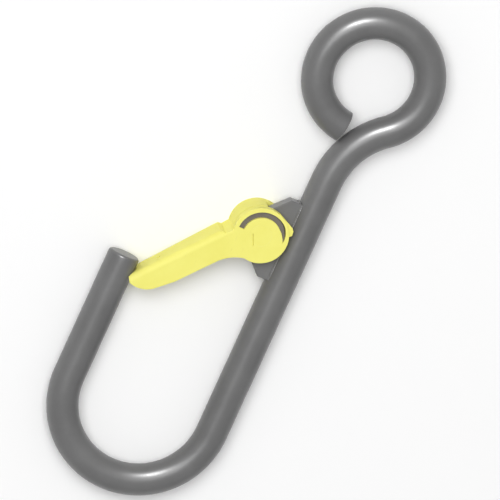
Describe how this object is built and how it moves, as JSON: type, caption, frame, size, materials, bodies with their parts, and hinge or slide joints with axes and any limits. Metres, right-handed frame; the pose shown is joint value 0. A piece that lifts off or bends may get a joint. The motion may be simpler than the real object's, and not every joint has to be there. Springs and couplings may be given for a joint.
{
  "type": "safety hook",
  "caption": "Bent round-bar safety hook with an eye at one end and a sprung sheet-metal latch that closes the wide bight.",
  "frame": {"origin": "centre of the eye, in the middle of the bar's thickness", "axes": "+Y up the shank from the bight to the eye, +X from the open limb to the shank, +Z along the latch's pivot towards the scribed face of the latch; the hook lies flat on its side"},
  "size_m": [0.091, 0.208, 0.0164],
  "materials": {
    "bar_steel": "satin dark grey phosphate coat over a bent steel bar",
    "lug_steel": "the bar's coat over a cut plate",
    "weld_metal": "the bar's coat over rippled weld metal",
    "latch_yellow": "pale yellow satin coat over pressed sheet steel",
    "zinc_steel": "bright zinc-plated steel",
    "spring_steel": "oiled dark spring wire"
  },
  "bodies": {
    "hook": {"hook_bar": "bar_steel", "latch_lug": "lug_steel", "weld_bead_near": "weld_metal", "weld_bead_far": "weld_metal", "weld_bead_upper": "weld_metal", "weld_bead_lower": "weld_metal", "thrust_washer_near": "zinc_steel", "thrust_washer_far": "zinc_steel", "torsion_spring_near": "spring_steel", "torsion_spring_far": "spring_steel"},
    "latch": {"latch_channel": "latch_yellow", "pivot_rivet": "latch_yellow", "spacer_sleeve": "zinc_steel", "spring_hub_near": "zinc_steel", "spring_hub_far": "zinc_steel"}
  },
  "joints": [
    {"name": "latch_pivot", "type": "hinge", "parent": "hook", "child": "latch", "pos_m": [-0.0157, -0.069, 0], "axis": [0, 0, 1], "range_deg": [0, 50], "stiffness_Nm_per_rad": 0.11, "springref_deg": -68.75, "deforming": ["torsion_spring_near", "torsion_spring_far"]}
  ]
}
